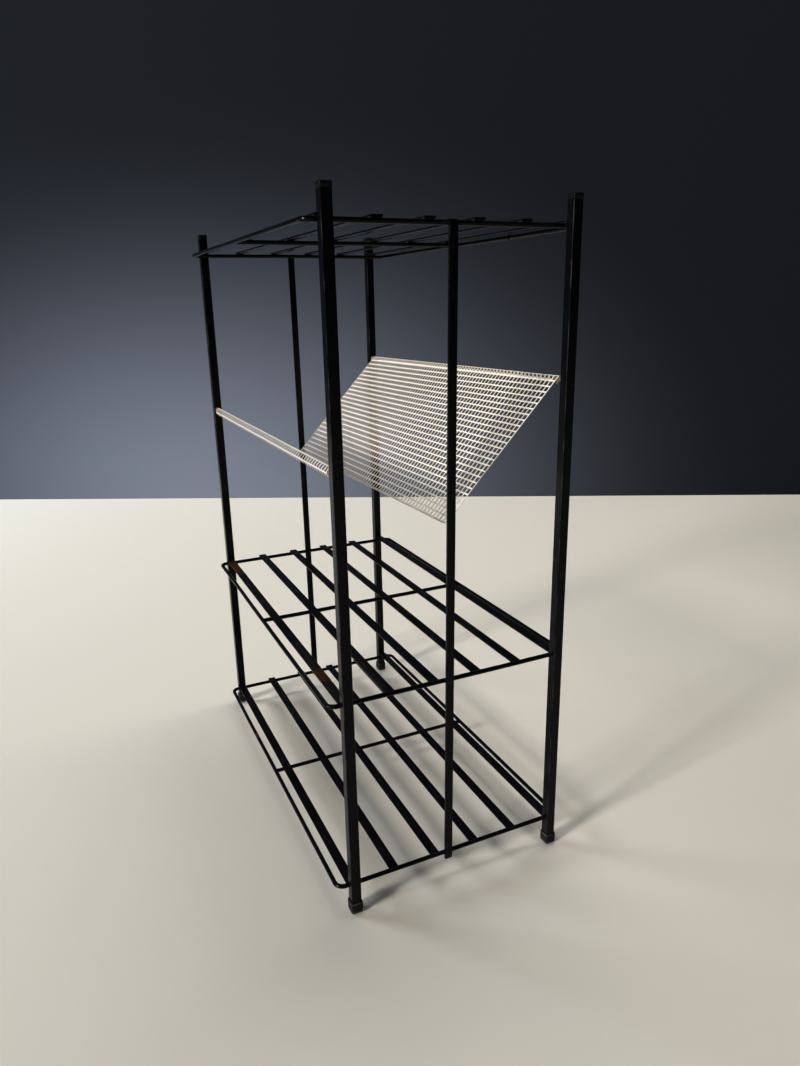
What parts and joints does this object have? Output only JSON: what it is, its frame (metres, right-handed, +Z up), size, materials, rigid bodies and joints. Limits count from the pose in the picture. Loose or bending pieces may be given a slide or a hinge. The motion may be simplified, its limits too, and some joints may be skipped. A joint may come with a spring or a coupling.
{
  "type": "newspaper rack",
  "caption": "Tall open wire rack with slatted shelves between square posts and a V-shaped perforated sheet tray that hooks over pins to hold newspapers.",
  "frame": {"origin": "floor level, at the middle of the four posts", "axes": "+X along the rack's length, +Y across it from the low lip of the tray to the high one, +Z up"},
  "size_m": [0.4742, 0.2624, 0.66],
  "materials": {
    "black_lacquer": "semi-gloss black stoving lacquer over steel, worn and scratched, rusty where bare",
    "black_plastic": "satin black",
    "black_rubber": "matt, dusty",
    "worn_steel": "black lacquer rubbed through to rusty steel",
    "cream_lacquer": "satin cream lacquer over perforated steel sheet"
  },
  "bodies": {
    "stand": {"post_front_left": "black_lacquer", "post_front_right": "black_lacquer", "post_back_left": "black_lacquer", "post_back_right": "black_lacquer", "cap_front_left": "black_plastic", "cap_front_right": "black_plastic", "cap_back_left": "black_plastic", "cap_back_right": "black_plastic", "foot_front_left": "black_rubber", "foot_front_right": "black_rubber", "foot_back_left": "black_rubber", "foot_back_right": "black_rubber", "wire_loop_bottom": "black_lacquer", "cross_wire_bottom": "black_lacquer", "slat_bottom_1": "black_lacquer", "slat_bottom_2": "black_lacquer", "slat_bottom_3": "black_lacquer", "slat_bottom_4": "black_lacquer", "slat_bottom_5": "black_lacquer", "slat_bottom_6": "black_lacquer", "wire_loop_middle": "black_lacquer", "cross_wire_middle": "black_lacquer", "slat_middle_1": "black_lacquer", "slat_middle_2": "black_lacquer", "slat_middle_3": "black_lacquer", "slat_middle_4": "black_lacquer", "slat_middle_5": "black_lacquer", "slat_middle_6": "black_lacquer", "wire_loop_top": "black_lacquer", "cross_wire_top": "black_lacquer", "slat_top_1": "black_lacquer", "slat_top_2": "black_lacquer", "slat_top_3": "black_lacquer", "slat_top_4": "black_lacquer", "slat_top_5": "black_lacquer", "slat_top_6": "black_lacquer", "bar_left": "black_lacquer", "bar_right": "black_lacquer", "pin_front_left": "worn_steel", "pin_front_right": "worn_steel", "pin_back_left": "worn_steel", "pin_back_right": "worn_steel"},
    "tray": {"tray": "cream_lacquer"}
  },
  "joints": [
    {"name": "tray_lift", "type": "slide", "parent": "stand", "child": "tray", "axis": [0, 0, 1], "range_m": [0, 0.125]}
  ]
}
